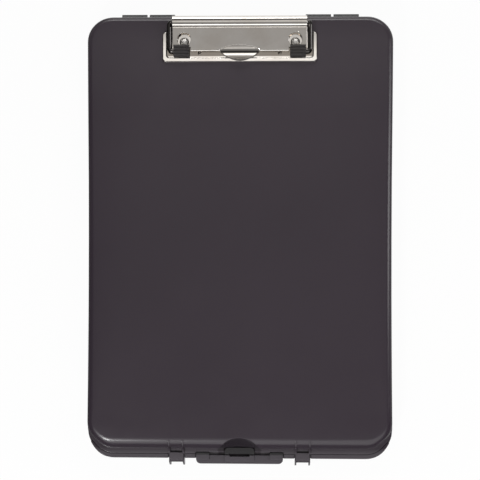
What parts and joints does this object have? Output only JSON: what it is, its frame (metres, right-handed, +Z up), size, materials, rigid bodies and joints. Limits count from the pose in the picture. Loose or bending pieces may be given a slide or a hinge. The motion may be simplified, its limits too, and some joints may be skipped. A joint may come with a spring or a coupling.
{
  "type": "storage clipboard box",
  "caption": "Shallow hinged storage case whose lid is a clipboard with a low sheet steel clip, a front latch and side snap hooks.",
  "frame": {"origin": "centre of the tray's flat underside, midway between its sides and between its front rim and its hinge face", "axes": "+X across the case to the right as the clip is seen at the far edge, +Y from the latch towards the hinges and the clip, +Z up from the underside through the lid"},
  "size_m": [0.241, 0.362, 0.0351],
  "materials": {
    "case_plastic": "fine matte moulded texture, charcoal",
    "latch_plastic": "satin moulded, charcoal",
    "clip_nickel": "bright nickel plated sheet steel",
    "wire_nickel": "bright nickel plated wire",
    "grip_rubber": "black ribbed rubber",
    "spring_steel": "drawn spring wire",
    "pin_steel": "drawn steel"
  },
  "bodies": {
    "tray": {"tray": "case_plastic", "hinge_pin_left": "pin_steel", "hinge_pin_right": "pin_steel", "latch_pin": "pin_steel"},
    "lid": {"lid": "case_plastic", "clip_base": "clip_nickel", "rivet_left": "clip_nickel", "rivet_right": "clip_nickel", "rivet_washer_left": "pin_steel", "rivet_washer_right": "pin_steel"},
    "jaw": {"clip_jaw": "clip_nickel", "clip_wire": "wire_nickel", "clip_grip_left": "grip_rubber", "clip_grip_right": "grip_rubber", "clip_spring_left": "spring_steel", "clip_spring_right": "spring_steel"},
    "latch": {"latch": "latch_plastic"}
  },
  "joints": [
    {"name": "lid_hinge", "type": "hinge", "parent": "tray", "child": "lid", "pos_m": [0, 0.1763, 0.01265], "axis": [-1, 0, 0], "range_deg": [0, 120]},
    {"name": "jaw_hinge", "type": "hinge", "parent": "lid", "child": "jaw", "pos_m": [0, 0.1698, 0.0302], "axis": [-1, 0, 0], "range_deg": [0, 55], "stiffness_Nm_per_rad": 0.25, "springref_deg": -34.38, "deforming": ["clip_spring_left", "clip_spring_right"]},
    {"name": "latch_pivot", "type": "hinge", "parent": "tray", "child": "latch", "pos_m": [0, -0.1783, 0.0045], "axis": [1, 0, 0], "range_deg": [0, 85]}
  ]
}
